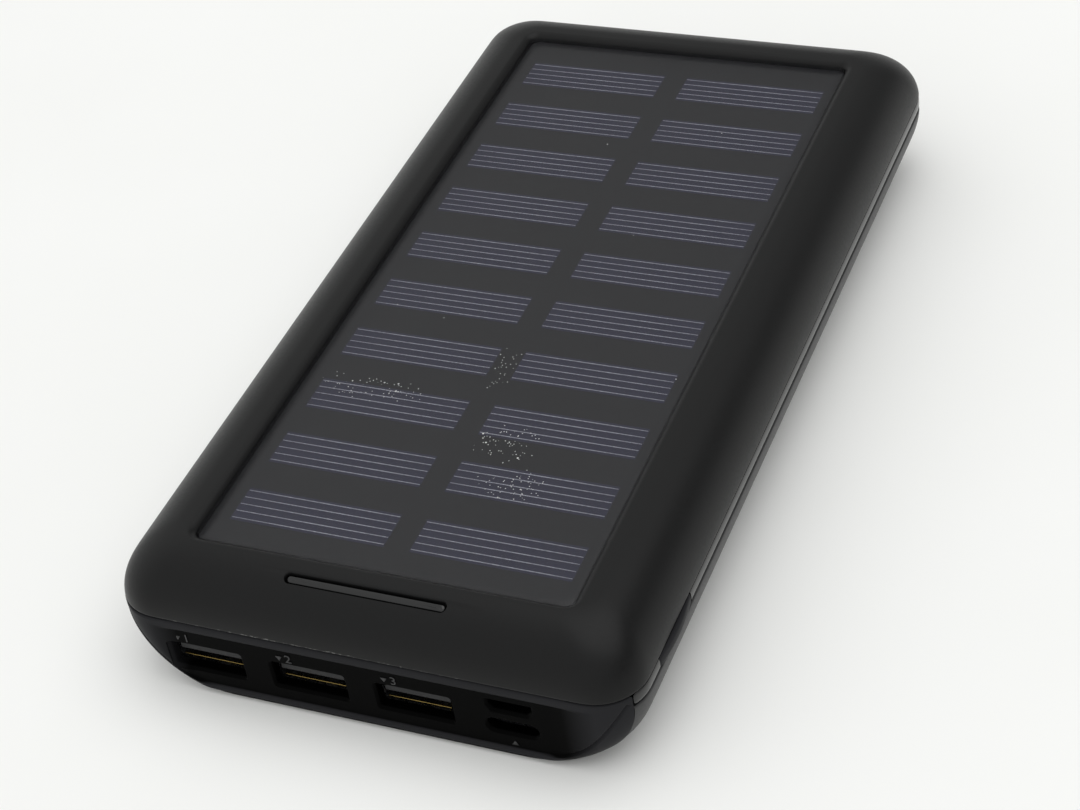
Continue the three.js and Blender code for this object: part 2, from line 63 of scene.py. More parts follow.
def linear(code):
    """The linear colour, with full opacity, of an sRGB hex code."""
    channels = [int(code[place:place + 2], 16) / 255 for place in (1, 3, 5)]
    return [
        value / 12.92 if value <= 0.04045 else ((value + 0.055) / 1.055) ** 2.4
        for value in channels
    ] + [1.0]


def box_mm(node):
    """Lowest and highest corner of a frame node, in millimetres."""
    low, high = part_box(node)
    return low / MM, high / MM


# ---------- sizes of the case ----------

SHELL_LOW, SHELL_HIGH = box_mm("top_shell")
BAND_LOW, BAND_HIGH = box_mm("side_band")
CAP_LOW, CAP_HIGH = box_mm("end_cap")
FILM_LOW, FILM_HIGH = box_mm("panel_film")
BAR_LOW, BAR_HIGH = box_mm("light_bar")

HALF_WIDTH = SHELL_HIGH.x
HALF_LENGTH = SHELL_HIGH.y
CASE_TOP = SHELL_HIGH.z
SEAM = SHELL_LOW.z
BAND_FOOT = BAND_LOW.z
BAND_TOP = BAND_HIGH.z
SEAM_GAP = SEAM - BAND_TOP
CAP_BACK = CAP_HIGH.y
WALL = 1.8
SHELF_TOP = 22.3  # the ledge that carries the panel
SHELF_FOOT = 21.0
WINDOW_GAP = 0.3  # what the panel's window has over the panel, in width and in length
WINDOW_RADIUS = 1.6
SLOT_EXTRA = 0.5  # the light slot's ends beyond the frame's light bar

CORNER_RADIUS = 8.0
CORNER_TIGHTENING = 0.3  # how much the plan corner shrinks per millimetre that the top rounds in
TOP_REACH = 10.0  # the top edge rounds in over this much of the width and length
BOTTOM_REACH = 14.0
FOOT_REACH = 1.2  # the front is upright nearly to the ground
FOOT_RISE = 1.5
BUTTON_GAP = 0.15  # round the power button's pad

RIM_FOOT = 2.2  # height of the end cap's lower rim
LIP_FOOT = BAND_TOP - 1.85  # height of the lip along the end cap's top

CORNER_STEPS = 6
SUPPORT = 3.0  # extra points this far from each corner keep the straight edges straight
SMOOTH_LEVELS = 2
SHARP_FROM = 35  # a bevel rounds edges that turn by more than this many degrees
CREASE_FROM = 38  # a cut piece keeps edges sharp that turn by more than this


class CasingSettings(bpy.types.PropertyGroup):
    """Sizes of the casing's edges and gaps."""

    seam_fillet: FloatProperty(
        name="Seam fillet", description="Rounding of the shells' edges along the side band",
        default=0.32 * MM, min=0.05 * MM, max=1.0 * MM, unit="LENGTH")
    lip_bevel: FloatProperty(
        name="Panel lip", description="Width of the rounded lip around the panel",
        default=1.3 * MM, min=0.2 * MM, max=1.5 * MM, unit="LENGTH")
    band_round: FloatProperty(
        name="Band rounding", description="Rounding of the side band's lower edge",
        default=0.75 * MM, min=0.1 * MM, max=1.2 * MM, unit="LENGTH")
    slot_gap: FloatProperty(
        name="Light bar gap", description="Gap around the indicator light bar",
        default=0.22 * MM, min=0.1 * MM, max=0.6 * MM, unit="LENGTH")
    button_swell: FloatProperty(
        name="Button swell", description="How far the middle of the button stands out",
        default=0.6 * MM, min=0.0, max=0.6 * MM, unit="LENGTH")


class PortSettings(bpy.types.PropertyGroup):
    """Sizes of the port face and what is raised on it."""

    face_sink: FloatProperty(
        name="Face sink", description="Depth of the port face behind the cap's rim",
        default=0.4 * MM, min=0.0, max=0.6 * MM, unit="LENGTH")
    port_bevel: FloatProperty(
        name="Port bevel", description="Bevel round each port opening",
        default=0.5 * MM, min=0.1 * MM, max=0.8 * MM, unit="LENGTH")
    groove_width: FloatProperty(
        name="Groove width", description="Width of the groove that follows the cap's lower corners",
        default=0.4 * MM, min=0.2 * MM, max=1.0 * MM, unit="LENGTH")
    mark_height: FloatProperty(
        name="Mark height", description="How far the port numbers stand out of the face",
        default=0.12 * MM, min=0.02 * MM, max=0.3 * MM, unit="LENGTH")


class PanelSettings(bpy.types.PropertyGroup):
    """The printed conductors on each solar cell."""

    finger_count: IntProperty(
        name="Finger lines", description="Number of printed silver lines on each cell",
        default=5, min=1, max=12)
    finger_pitch: FloatProperty(
        name="Finger pitch", description="Distance between the lines",
        default=1.59 * MM, min=0.5 * MM, max=3 * MM, unit="LENGTH")
    finger_width: FloatProperty(
        name="Finger width", description="Width of one line",
        default=0.17 * MM, min=0.05 * MM, max=0.5 * MM, unit="LENGTH")


class ColourSettings(bpy.types.PropertyGroup):
    """Colours of the surfaces that show."""

    shell: FloatVectorProperty(
        name="Shell", description="Soft-touch lacquer on the two shells",
        default=linear("#090909"), size=4, min=0, max=1, subtype="COLOR")
    trim: FloatVectorProperty(
        name="Trim", description="Gloss side band",
        default=linear("#0b0b0c"), size=4, min=0, max=1, subtype="COLOR")
    cap: FloatVectorProperty(
        name="Cap", description="Satin end cap and button",
        default=linear("#020202"), size=4, min=0, max=1, subtype="COLOR")
    cell: FloatVectorProperty(
        name="Cells", description="Coated silicon of the solar cells",
        default=linear("#222238"), size=4, min=0, max=1, subtype="COLOR")
    finger: FloatVectorProperty(
        name="Finger lines", description="Printed silver on the cells",
        default=linear("#dcdde8"), size=4, min=0, max=1, subtype="COLOR")


# ---------- meshes ----------

def shown(name, data):
    """A new object of the scene with a mesh, a text, a light or a camera in it."""
    obj = bpy.data.objects.new(name, data)
    bpy.context.scene.collection.objects.link(obj)
    return obj


def make_object(name, points, faces):
    """A closed mesh object at the origin, from points in millimetres."""
    mesh = bpy.data.meshes.new(name)
    mesh.from_pydata([Vector(point) * MM for point in points], [], faces)
    skin = bmesh.new()
    skin.from_mesh(mesh)
    bmesh.ops.recalc_face_normals(skin, faces=skin.faces)
    skin.to_mesh(mesh)
    skin.free()
    mesh.shade_smooth()
    return shown(name, mesh)


def lofted(rings):
    """Points and faces of a closed skin through rings that have the same number of points."""
    count = len(rings[0])
    last = (len(rings) - 1) * count
    points = [point for ring in rings for point in ring]
    faces = [tuple(reversed(range(count))), tuple(range(last, last + count))]
    for start in range(0, last, count):
        for i in range(count):
            j = (i + 1) % count
            faces.append((start + i, start + j, start + count + j, start + count + i))
    return points, faces


def loft(name, rings):
    """An object with a closed skin through rings of points."""
    return make_object(name, *lofted(rings))


def smooth(obj, levels=SMOOTH_LEVELS):
    """Finishes a coarse cage with a live Subdivision Surface."""
    modifier = obj.modifiers.new("Subdivision", "SUBSURF")
    modifier.levels = levels
    modifier.render_levels = levels
    return obj


def round_edges(obj, width, segments=3):
    """Rounds the sharp edges of a piece with a live Bevel; width is in millimetres."""
    modifier = obj.modifiers.new("Bevel", "BEVEL")
    modifier.width = width * MM
    modifier.segments = segments
    modifier.limit_method = "ANGLE"
    modifier.angle_limit = math.radians(SHARP_FROM)
    return obj


def evaluated_mesh(obj):
    """A new mesh of an object as its modifiers leave it."""
    depsgraph = bpy.context.evaluated_depsgraph_get()
    depsgraph.update()
    return bpy.data.meshes.new_from_object(obj.evaluated_get(depsgraph))


def settle(obj):
    """Applies a piece's modifiers to its mesh."""
    mesh = evaluated_mesh(obj)
    obj.modifiers.clear()
    obj.data = mesh
    return obj


def cut(obj, *cutters):
    """Takes the cutters out of a piece, applies the result and removes the cutters."""
    for cutter in cutters:
        modifier = obj.modifiers.new("Cut", "BOOLEAN")
        modifier.operation = "DIFFERENCE"
        modifier.solver = "MANIFOLD"
        modifier.object = cutter
    settle(obj)
    for cutter in cutters:
        bpy.data.objects.remove(cutter)
    obj.data.shade_smooth()
    obj.data.set_sharp_from_angle(angle=math.radians(CREASE_FROM))
    return obj


def joined(name, objects):
    """One object from several, with their modifiers applied first."""
    points, faces = [], []
    for part in objects:
        settle(part)
        faces += [[index + len(points) for index in face.vertices] for face in part.data.polygons]
        points += [vertex.co / MM for vertex in part.data.vertices]
        bpy.data.objects.remove(part)
    return make_object(name, points, faces)


def block(name, low, high):
    """A box between two opposite corners."""
    corners = ((low[0], low[1]), (high[0], low[1]), (high[0], high[1]), (low[0], high[1]))
    return loft(name, [[Vector((x, y, z)) for x, y in corners] for z in (low[2], high[2])])


# ---------- outlines ----------

def rounded_points(width, height, radius, steps=5):
    """Points (u, v) of a rectangle with round corners about the origin, anticlockwise."""
    points = []
    for turn, (u, v) in enumerate(((1, -1), (1, 1), (-1, 1), (-1, -1))):
        for step in range(steps + 1):
            angle = math.radians(90 * (turn - 1 + step / steps))
            points.append((
                u * (width / 2 - radius) + radius * math.cos(angle),
                v * (height / 2 - radius) + radius * math.sin(angle),
            ))
    return points


def rectangle_ring(half_width, front, rear, radius, z):
    """A level rectangle with round corners and support points beside each corner."""
    ring = []
    corners = (
        (half_width - radius, front + radius),
        (half_width - radius, rear - radius),
        (radius - half_width, rear - radius),
        (radius - half_width, front + radius),
    )
    for turn, (x, y) in enumerate(corners):
        centre = Vector((x, y, z))
        arc = []
        for step in range(CORNER_STEPS + 1):
            angle = math.radians(90 * (turn - 1 + step / CORNER_STEPS))
            arc.append(centre + radius * Vector((math.cos(angle), math.sin(angle), 0)))
        arrive = Matrix.Rotation(math.radians(90 * turn), 3, "Z") @ Vector((1, 0, 0))
        leave = Matrix.Rotation(math.radians(90 * (turn + 1)), 3, "Z") @ Vector((1, 0, 0))
        ring += [arc[0] - SUPPORT * arrive] + arc + [arc[-1] + SUPPORT * leave]
    return ring


def slab_rings(node, radius, profile):
    """Level rings round a frame node, from pairs of an inset and a height."""
    low, high = box_mm(node)
    return [
        rectangle_ring(high.x - inset, low.y + inset, high.y - inset, radius, z)
        for inset, z in profile
    ]


def round_inset(height, reach, rise, offset=0.0):
    """How far a rounded edge has come in at a distance from where it starts."""
    share = min(1.0, height / (rise - offset))
    return offset + (reach - offset) * (1 - math.sqrt(1 - share * share))


def case_inset(z, offset=0.0):
    """How far the case's sides and its front stand in at a height."""
    if z > SEAM:
        side = round_inset(z - SEAM, TOP_REACH, CASE_TOP - SEAM, offset)
        return side, side
    if z < BAND_FOOT:
        foot = min(1.0, max(0.0, FOOT_RISE - z) / FOOT_RISE)
        front = offset + FOOT_REACH * (1 - math.sqrt(1 - foot * foot))
        return round_inset(BAND_FOOT - z, BOTTOM_REACH, BAND_FOOT, offset), front
    return offset, offset


def case_ring(z, offset=0.0, pull=0.0):
    """The case's outline at a height, inside its wall by offset, and pulled in for a fillet."""
    side, front = case_inset(z, offset)
    radius = CORNER_RADIUS - offset
    if z > SEAM:
        radius -= CORNER_TIGHTENING * (side - offset)
    return rectangle_ring(
        HALF_WIDTH - side - pull, front + pull - HALF_LENGTH, HALF_LENGTH - side - pull,
        radius - pull / 2, z,
    )


def front_slope(y, drop=0.0):
    """Height of the top shell's outer surface near its front, less a drop."""
    share = 1 - (y + HALF_LENGTH) / TOP_REACH
    return SEAM + (CASE_TOP - SEAM) * math.sqrt(max(0.0, 1 - share * share)) - drop


# ---------- materials ----------

def add(tree, kind, inputs=None, **settings):
    """Adds one node; inputs holds its sockets' values, or the outputs that they are linked from."""
    made = tree.nodes.new("ShaderNode" + kind)
    for name, value in settings.items():
        setattr(made, name, value)
    for name, value in (inputs or {}).items():
        if isinstance(value, bpy.types.NodeSocket):
            tree.links.new(value, made.inputs[name])
        else:
            made.inputs[name].default_value = value
    return made


def shade(code):
    """The linear colour of a hex code or of a colour setting's name."""
    if code.startswith("#"):
        return linear(code)
    return getattr(bpy.context.scene.power_bank_colours, code)


def moulded(name, codes, grain, roughness, relief, shader=None, stretch=(1, 1, 1)):
    """A material whose colour, roughness and relief drift together over a grain in millimetres."""
    material = bpy.data.materials.new(name)
    material.use_nodes = True
    tree = material.node_tree
    tree.nodes.clear()
    place = add(tree, "TexCoord").outputs["Object"]
    turned = add(tree, "Mapping", {"Vector": place, "Scale": stretch})
    drift = add(tree, "TexNoise", {
        "Vector": turned.outputs["Vector"], "Scale": 1 / (grain * MM), "Detail": 3.0,
    })
    tint = add(tree, "Mix", {
        0: drift.outputs["Fac"], 6: shade(codes[0]), 7: shade(codes[1]),
    }, data_type="RGBA")
    sheen = add(tree, "MapRange", {
        "Value": drift.outputs["Fac"], "From Min": 0.3, "From Max": 0.7,
        "To Min": roughness[0], "To Max": roughness[1],
    })
    bump = add(tree, "Bump", {"Height": drift.outputs["Fac"], "Distance": relief * MM})
    surface = add(tree, "BsdfPrincipled", {
        "Base Color": tint.outputs[2],
        "Roughness": sheen.outputs["Result"],
        "Normal": bump.outputs["Normal"],
        **(shader or {}),
    })
    add(tree, "OutputMaterial", {"Surface": surface.outputs["BSDF"]})
    return material


def overlay(material, mask, colour, roughness=None):
    """Lays another colour over a material's own where the mask is 1."""
    tree = material.node_tree
    surface = next(node for node in tree.nodes if node.type == "BSDF_PRINCIPLED")
    below = surface.inputs["Base Color"].links[0].from_socket
    over = add(tree, "Mix", {0: mask, 6: below, 7: linear(colour)}, data_type="RGBA")
    tree.links.new(over.outputs[2], surface.inputs["Base Color"])
    if roughness is not None:
        finish = surface.inputs["Roughness"].links[0].from_socket
        rough = add(tree, "Mix", {0: mask, 2: finish, 3: roughness}, data_type="FLOAT")
        tree.links.new(rough.outputs[0], surface.inputs["Roughness"])
    return material


def specks(tree, spacing, size, share, within=None):
    """A mask of round specks, sized and spaced in millimetres, at a share of all places."""
    place = add(tree, "TexCoord").outputs["Object"]
    scatter = add(tree, "TexVoronoi", {"Vector": place, "Scale": 1 / (spacing * MM)})
    near = add(tree, "Math", {
        0: scatter.outputs["Distance"], 1: size / spacing,
    }, operation="LESS_THAN").outputs[0]
    chance = add(tree, "SeparateColor", {"Color": scatter.outputs["Color"]}).outputs["Red"]
    if within is not None:
        share = add(tree, "Math", {0: within, 1: share}, operation="MULTIPLY").outputs[0]
    kept = add(tree, "Math", {0: chance, 1: share}, operation="LESS_THAN").outputs[0]
    return add(tree, "Math", {0: near, 1: kept}, operation="MULTIPLY").outputs[0]


def patch(tree, centre, half_size):
    """A mask that is 1 in the middle of an oval patch and fades to 0 at its edge."""
    place = add(tree, "TexCoord").outputs["Object"]
    moved = add(tree, "Mapping", {
        "Vector": place,
        "Scale": [1 / (size * MM) for size in half_size],
        "Location": [-middle / size for middle, size in zip(centre, half_size)],
    })
    away = add(tree, "VectorMath", {0: moved.outputs["Vector"]}, operation="LENGTH")
    return add(tree, "MapRange", {
        "Value": away.outputs["Value"], "From Min": 1.0, "From Max": 0.35,
    }).outputs["Result"]


def any_of(tree, masks):
    """One mask from several: the highest of them everywhere."""
    result = masks[0]
    for mask in masks[1:]:
        result = add(tree, "Math", {0: result, 1: mask}, operation="MAXIMUM").outputs[0]
    return result


def soft_touch_lacquer():
    """Soft-touch polyurethane lacquer on moulded ABS: a deep black with a wide dull sheen."""
    material = moulded(
        "soft_touch_lacquer", ("shell", "#0e0e0f"), 0.5, (0.36, 0.44), 0.006,
        {"Specular IOR Level": 0.2},
    )
    tree = material.node_tree
    lint = specks(tree, 6.0, 0.13, 0.16)
    front_edge = patch(tree, (-9, -84.9, SEAM + 0.25), (27, 1.6, 0.3))
    chips = specks(tree, 0.55, 0.3, 0.75, front_edge)
    overlay(material, chips, "#5e5e5c", 0.6)
    return overlay(material, lint, "#8f8f8c", 0.8)


def satin_abs():
    """Fine spark-eroded ABS of the end cap and button: a black face, with a paler colour painted at
    its ends, along its lip and below its lower rim as painted sheen.
    """
    material = moulded(
        "satin_moulded_abs", ("cap", "#030303"), 0.3, (0.3, 0.38), 0.003,
        {"Specular IOR Level": 0.02},
    )
    tree = material.node_tree
    place = add(tree, "TexCoord").outputs["Object"]
    split = add(tree, "SeparateXYZ", {"Vector": place}).outputs
    aside = add(tree, "Math", {0: split["X"]}, operation="ABSOLUTE").outputs[0]
    painted_sheen_rim = []
    for value, start, end in (
        (aside, 33.0, 38.5),
        (split["Z"], RIM_FOOT + 0.2, RIM_FOOT - 0.2),
        (split["Z"], LIP_FOOT - 0.1, LIP_FOOT + 0.3),
    ):
        painted_sheen_rim.append(add(tree, "MapRange", {
            "Value": value, "From Min": start * MM, "From Max": end * MM,
        }).outputs["Result"])
    # painted sheen: the paler colour at the cap's ends, on its lip, below its lower rim and over
    # the whole button stands in for the light these turned surfaces catch
    return overlay(material, any_of(tree, painted_sheen_rim), "#28282a")


# middles and half sizes of the places where the panel's film is scuffed
FILM_SCUFFS = (
    ((-19, -34, FILM_HIGH.z), (12, 3.5, 3)),
    ((13, -51, FILM_HIGH.z), (7, 4, 3)),
    ((9, -42, FILM_HIGH.z), (7, 5, 3)),
    ((1, -24, FILM_HIGH.z), (2.5, 8, 3)),
)


def cover_film():
    """Matt polyester film over the panel: lets the cells show through a grey satin haze."""
    material = moulded(
        "matt_polyester_film", ("#1a1a1e", "#222227"), 9.0, (0.36, 0.44), 0.004,
        {"IOR": 1.5},
    )
    tree = material.node_tree
    marks = [specks(tree, 5.0, 0.12, 0.14)]
    for centre, half_size in FILM_SCUFFS:
        worn = patch(tree, centre, half_size)
        marks += [specks(tree, 0.45, 0.1, 0.28, worn), specks(tree, 1.3, 0.17, 0.35, worn)]
    marks = any_of(tree, marks)
    overlay(material, marks, "#e2e2e0", 0.6)
    haze = add(tree, "MapRange", {"Value": marks, "To Min": 0.12, "To Max": 0.8})
    surface = next(node for node in tree.nodes if node.type == "BSDF_PRINCIPLED")
    tree.links.new(haze.outputs["Result"], surface.inputs["Alpha"])
    return material


# Finishes that are all grain, by slot or by their own name: the finish, its two colours, grain in
# millimetres, roughness, relief in millimetres, shader values, and how densely the grain repeats
# along each axis.
PLAIN_FINISHES = {
    # gloss-moulded ABS trim: mirror-like, with the faintest flow marks along the strip
    "gloss_trim": (
        "gloss_moulded_abs", ("trim", "#090909"), 4.0, (0.1, 0.17), 0.002,
        {"Specular IOR Level": 0.5}),
    # etched silicon with a nitride coat: blue-violet, with the fine drift of a sawn wafer
    "silicon_cell": (
        "coated_silicon", ("cell", "#29293f"), 2.4, (0.36, 0.44), 0.0005, {}, (0.3, 2.0, 1.0)),
    # screen-printed and fired silver paste: pale, dull and slightly broken along each line
    "silver_paste": (
        "silver_paste", ("#3c3d50", "finger"), 0.35, (0.4, 0.6), 0.004, {"Metallic": 0.2}),
    # uncoated spark-eroded ABS of the tray: greyer than the lacquer, with a soft even sheen
    "bare_moulded_abs": (
        "bare_moulded_abs", ("#1b1b1c", "#232324"), 0.4, (0.42, 0.5), 0.008,
        {"Specular IOR Level": 0.5}),
    # smoked acrylic light guide: looks like dark polished glass while its lamps are off
    "light_guide": (
        "smoked_acrylic", ("#0c0c0d", "#111112"), 3.0, (0.1, 0.16), 0.002, {"IOR": 1.49}),
    # black glass-fibre laminate round the cells: a dark sheet, mottled by its weave
    "panel_sheet": ("backing_laminate", ("#09090b", "#1a1a1e"), 0.35, (0.4, 0.5), 0.001),
    # green solder mask on a glass-fibre board: glossy, with copper tracks just under it
    "circuit_board": (
        "solder_mask_board", ("#14492c", "#1f6a3f"), 1.6, (0.25, 0.4), 0.03,
        {"Coat Weight": 0.3}, (1.0, 0.2, 1.0)),
    # tin-plated folded sheet steel, given a darkened colour as painted shade for the inside of the
    # sockets, with the drag marks of stamping along it
    "socket_steel": (
        "tinned_steel", ("#8f9093", "#a3a3a4"), 0.8, (0.22, 0.34), 0.0005, {"Metallic": 1.0},
        (1.0, 0.2, 1.0)),
    # glass-filled nylon of a socket's tongue: dark grey and dull, with short fibre flecks
    "socket_insulator": ("glass_filled_nylon", ("#151516", "#202022"), 0.4, (0.5, 0.65), 0.01),
    # black liquid-crystal polymer: a dull moulded insulator with faint flow streaks
    "dark_insulator": ("black_insulator_polymer", ("#151517", "#232326"), 0.6, (0.45, 0.6), 0.01),
    # clear epoxy over a small light-emitting chip: milky white and glossy
    "led_lens": (
        "lamp_epoxy", ("#dfe5ee", "#f4f6f9"), 0.6, (0.15, 0.25), 0.004,
        {"Transmission Weight": 0.2}),
    # amber polyimide ribbon: a glossy film with copper lines showing through
    "flex_cable": (
        "amber_polyimide", ("#8a4d12", "#c9822b"), 0.5, (0.2, 0.35), 0.004, {}, (2.0, 0.1, 0.1)),
    # aluminium-laminate pouch: silvery and slightly crumpled, as vacuum-drawn foil is
    "pouch_foil": (
        "aluminium_laminate", ("#a9adb2", "#c6c9cd"), 7.0, (0.28, 0.45), 0.12, {"Metallic": 1.0}),
    # closed-cell polyethylene foam: charcoal, with small dull pores
    "foam_pad": ("closed_cell_foam", ("#1e1e1f", "#39393a"), 0.35, (0.85, 0.98), 0.08),
    # sintered ferrite: a dark grey ceramic with a sandy grain
    "ferrite": ("sintered_ferrite", ("#2d2d30", "#434347"), 0.25, (0.65, 0.85), 0.03),
    # moulded chip epoxy: matt black with silica flecks
    "chip_resin": ("chip_epoxy", ("#111113", "#1e1e20"), 0.2, (0.5, 0.65), 0.01),
    # deep-drawn aluminium can: bright, with fine draw lines up its side
    "capacitor_can": (
        "drawn_aluminium_can", ("#bdbfc2", "#d9dadb"), 0.4, (0.22, 0.36), 0.004,
        {"Metallic": 1.0}, (3.0, 3.0, 0.15)),
    # red and black silicone wire jackets: soft sheen, slightly dusty
    "red_wire": ("red_silicone_jacket", ("#9c1620", "#bb2a31"), 0.8, (0.42, 0.58), 0.01),
    "black_wire": ("black_silicone_jacket", ("#131314", "#232324"), 0.8, (0.42, 0.58), 0.01),
    # thin gold plating on stamped contacts: a dull warm glint
    "gold_flash_plating": (
        "gold_flash_plating", ("#a58a4c", "#bda466"), 0.6, (0.2, 0.34), 0.002, {"Metallic": 1.0}),
}
MARKED_FINISHES = {
    "matte_shell": soft_touch_lacquer,
    "satin_cap": satin_abs,
    "panel_cover": cover_film,
}
made_finishes = {}


def finish_of(key):
    """The material of a slot, or of a finish that has no slot, made once."""
    if key not in made_finishes:
        if key in PLAIN_FINISHES:
            made_finishes[key] = moulded(*PLAIN_FINISHES[key])
        else:
            made_finishes[key] = MARKED_FINISHES[key]()
    return made_finishes[key]


def finish_piece(obj, body, slot, *nodes, finish=None):
    """Gives a piece the material of its slot, or of its own finish, hangs it on its body and hides
    the frame nodes that it stands for.
    """
    obj.data.materials.clear()
    obj.data.materials.append(finish_of(finish or slot))
    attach(obj, body)
    if nodes:
        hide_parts(*nodes)
    return obj


# ---------- casing ----------

def window_ring(grow, z):
    """The panel window's outline, grown outwards, at a height."""
    gap = WINDOW_GAP / 2 + grow
    radius = WINDOW_RADIUS + max(-1.0, grow)
    return rectangle_ring(FILM_HIGH.x + gap, FILM_LOW.y - gap, FILM_HIGH.y + gap, radius, z)


def slot_ring(grow, drop, level=None):
    """The light bar's outline, grown outwards, a drop below the sloping surface or at a level."""
    length = BAR_HIGH.x - BAR_LOW.x + 2 * (SLOT_EXTRA + grow)
    width = BAR_HIGH.y - BAR_LOW.y + 2 * grow
    middle = (BAR_HIGH.y + BAR_LOW.y) / 2
    return [
        Vector((u, middle + v, front_slope(middle + v, drop) if level is None else level))
        for u, v in rounded_points(length, width, width / 2 - 0.01, 8)
    ]


class BuildTopShell(bpy.types.Operator):
    """Top shell: a pillow-edged frame round the panel with a slot for the light bar"""

    bl_idname = "power_bank.top_shell"
    bl_label = "Top shell"

    def execute(self, context):
        sizes = context.scene.power_bank_casing
        fillet = sizes.seam_fillet / MM
        lip = sizes.lip_bevel / MM
        rings = [case_ring(SHELF_FOOT, WALL, 4.0), case_ring(SHELF_FOOT, WALL, 0.3)]
        rings += [case_ring(z, WALL) for z in (20.8, 19.5, 18.0, 16.6, SEAM + 0.2)]
        rings += [
            case_ring(SEAM, WALL - 0.1),
            case_ring(SEAM, 0, fillet * 1.6),
            case_ring(SEAM, 0, fillet),
            case_ring(SEAM + 0.3 * fillet, 0, 0.3 * fillet),
            case_ring(SEAM + fillet, 0),
            case_ring(SEAM + 2 * fillet, 0),
        ]
        for degrees in (12, 22, 32, 42, 52, 62, 71, 79, 84.3):
            rings.append(case_ring(SEAM + (CASE_TOP - SEAM) * math.sin(math.radians(degrees)), 0))
        profile = (
            (lip + 0.12, CASE_TOP - 0.01),
            (lip * 0.85, CASE_TOP - 0.06),
            (lip * 0.5, CASE_TOP - 0.27),
            (lip * 0.12, CASE_TOP - 0.66),
            (0.0, CASE_TOP - 0.95),
            (0.0, CASE_TOP - 1.5),
            (0.0, SHELF_TOP + 0.2),
            (-0.2, SHELF_TOP),
            (-1.5, SHELF_TOP),
        )
        rings += [window_ring(grow, z) for grow, z in profile]
        shell = settle(smooth(loft("top_shell_skin", rings)))
        flare = ((0.5, -0.5), (0.28, -0.03), (0.14, 0.04), (0.05, 0.14), (0.0, 0.3), (0.0, 1.2))
        cutter = [slot_ring(grow, drop) for grow, drop in flare]
        cutter.append(slot_ring(0, 0, SEAM + 1))
        lead_low, lead_high = box_mm("panel_lead_red")
        far_low = box_mm("panel_lead_black")[0]
        room = 0.6  # beside the two leads where they pass through the ledge
        passage = block(
            "lead_passage", (far_low.x - room, lead_low.y - 0.4, SHELF_FOOT - 1),
            (lead_high.x + room, lead_high.y + 0.2, SHELF_TOP + 1),
        )
        cut(shell, loft("slot_cutter", cutter), passage)
        finish_piece(shell, "housing", "matte_shell", "top_shell")
        return {"FINISHED"}


class BuildBottomShell(bpy.types.Operator):
    """Bottom shell: a tray with deeply rounded lower edges, open at the front for the end cap"""

    bl_idname = "power_bank.bottom_shell"
    bl_label = "Bottom shell"

    def execute(self, context):
        fillet = context.scene.power_bank_casing.seam_fillet / MM
        top = BAND_FOOT - SEAM_GAP
        rings = [case_ring(0, 0, 4.0), case_ring(0, 0, 0.6)]
        for degrees in (84, 75, 66, 56, 46, 36, 26, 16, 8):
            rings.append(case_ring(BAND_FOOT * (1 - math.sin(math.radians(degrees))), 0))
        rings += [
            case_ring(top - fillet, 0),
            case_ring(top - 0.3 * fillet, 0, 0.3 * fillet),
            case_ring(top, 0, fillet),
            case_ring(top, 0, WALL - 0.1),
            case_ring(top - 0.2, WALL),
        ]
        rings += [case_ring(z, WALL) for z in (11.0, 8.5, 6.0, 4.2, 2.9, 2.1)]
        rings += [case_ring(WALL, WALL, 0.6), case_ring(WALL, WALL, 4.0)]
        shell = settle(smooth(loft("bottom_shell_skin", rings)))
        cap_room = block(
            "cap_room", (-2 * HALF_WIDTH, -2 * HALF_LENGTH, CAP_LOW.z - 2.5 * SEAM_GAP),
            (2 * HALF_WIDTH, CAP_BACK + 2.5 * SEAM_GAP, CASE_TOP),
        )
        cut(shell, cap_room)
        finish_piece(shell, "housing", "matte_shell", "bottom_shell", finish="bare_moulded_abs")
        return {"FINISHED"}


def band_path():
    """Points and outward directions along the case's outline, from the cap's right end round."""
    radius = CORNER_RADIUS
    start = math.asin((CORNER_RADIUS - HALF_LENGTH - CAP_BACK - SEAM_GAP) / radius)
    x, y = HALF_WIDTH - radius, HALF_LENGTH - radius
    right = []
    for step in range(5):
        angle = -start * (1 - step / 4)
        way = Vector((math.cos(angle), math.sin(angle), 0))
        right.append((Vector((x, -y, 0)) + radius * way, way))
    for place in (-y + SUPPORT, -56, -40, -10, 20, 50, y - SUPPORT):
        right.append((Vector((HALF_WIDTH, place, 0)), Vector((1, 0, 0))))
    for step in range(CORNER_STEPS + 1):
        angle = math.radians(90 * step / CORNER_STEPS)
        way = Vector((math.cos(angle), math.sin(angle), 0))
        right.append((Vector((x, y, 0)) + radius * way, way))
    right.append((Vector((x - SUPPORT, HALF_LENGTH, 0)), Vector((0, 1, 0))))
    flip = Vector((-1, 1, 1))
    return right + [(point * flip, way * flip) for point, way in reversed(right)]


